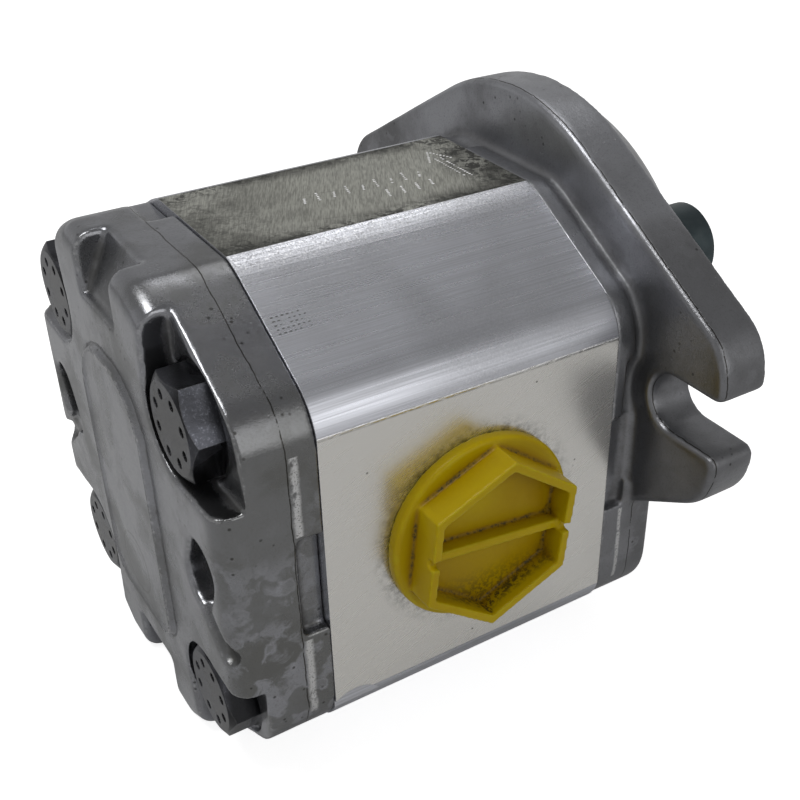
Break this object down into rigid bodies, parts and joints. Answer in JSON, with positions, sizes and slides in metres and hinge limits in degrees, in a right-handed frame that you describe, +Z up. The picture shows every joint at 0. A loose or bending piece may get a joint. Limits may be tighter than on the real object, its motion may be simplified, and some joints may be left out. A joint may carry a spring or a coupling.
{
  "type": "hydraulic gear pump",
  "caption": "External gear pump: extruded body between cast covers, slotted mounting flange with pilot, keyed drive shaft, meshed gears in bearing blocks, and screw caps in its side ports.",
  "frame": {"origin": "drive shaft axis, in the flange's mounting face", "axes": "+X along the shaft towards its driven end, +Z up, -Y towards the inlet port"},
  "size_m": [0.1424, 0.1318, 0.1121],
  "materials": {
    "extruded_aluminium": "brushed, with milled flats",
    "cast_aluminium": "die-cast, oil stained",
    "hardened_steel": "ground, dark oiled",
    "key_steel": "drawn",
    "seal_steel": "rubber coated",
    "spring_steel": "phosphated",
    "black_bolt_steel": "black, worn on the corners",
    "bearing_alloy": "machined",
    "liner_bronze": "bronze liner",
    "nitrile": "matt black rubber",
    "hard_plastic": "matt",
    "cap_plastic": "translucent yellow, satin"
  },
  "bodies": {
    "housing": {"pump_body": "extruded_aluminium", "rear_cover": "cast_aluminium", "mounting_flange": "cast_aluminium", "shaft_seal_case": "seal_steel", "shaft_seal_lip": "nitrile", "garter_spring": "spring_steel", "seal_retaining_ring": "spring_steel", "front_bearing_block": "bearing_alloy", "front_drive_liner": "liner_bronze", "front_idler_liner": "liner_bronze", "front_body_seal": "nitrile", "front_balance_seal": "nitrile", "front_backup_ring": "hard_plastic", "front_dowel_left": "key_steel", "front_dowel_right": "key_steel", "rear_bearing_block": "bearing_alloy", "rear_drive_liner": "liner_bronze", "rear_idler_liner": "liner_bronze", "rear_body_seal": "nitrile", "rear_balance_seal": "nitrile", "rear_backup_ring": "hard_plastic", "rear_dowel_left": "key_steel", "rear_dowel_right": "key_steel", "cover_bolt_upper_left": "black_bolt_steel", "cover_bolt_upper_right": "black_bolt_steel", "cover_bolt_lower_left": "black_bolt_steel", "cover_bolt_lower_right": "black_bolt_steel"},
    "drive_rotor": {"drive_gear_shaft": "hardened_steel", "shaft_key": "key_steel"},
    "idler_rotor": {"idler_gear_shaft": "hardened_steel"},
    "inlet_plug": {"inlet_cap": "cap_plastic"},
    "outlet_plug": {"outlet_cap": "cap_plastic"}
  },
  "joints": [
    {"name": "drive_spin", "type": "hinge", "parent": "housing", "child": "drive_rotor", "pos_m": [0, 0, 0], "axis": [1, 0, 0], "continuous": true},
    {"name": "idler_spin", "type": "hinge", "parent": "housing", "child": "idler_rotor", "pos_m": [-0.0481, 0, -0.033], "axis": [1, 0, 0], "continuous": true},
    {"name": "inlet_cap_lift", "type": "slide", "parent": "housing", "child": "inlet_plug", "axis": [0, -1, 0], "range_m": [0, 0.03]},
    {"name": "outlet_cap_lift", "type": "slide", "parent": "housing", "child": "outlet_plug", "axis": [0, 1, 0], "range_m": [0, 0.03]}
  ],
  "couplings": [
    {"joint": "idler_spin", "follows": "drive_spin", "ratio": -1}
  ]
}
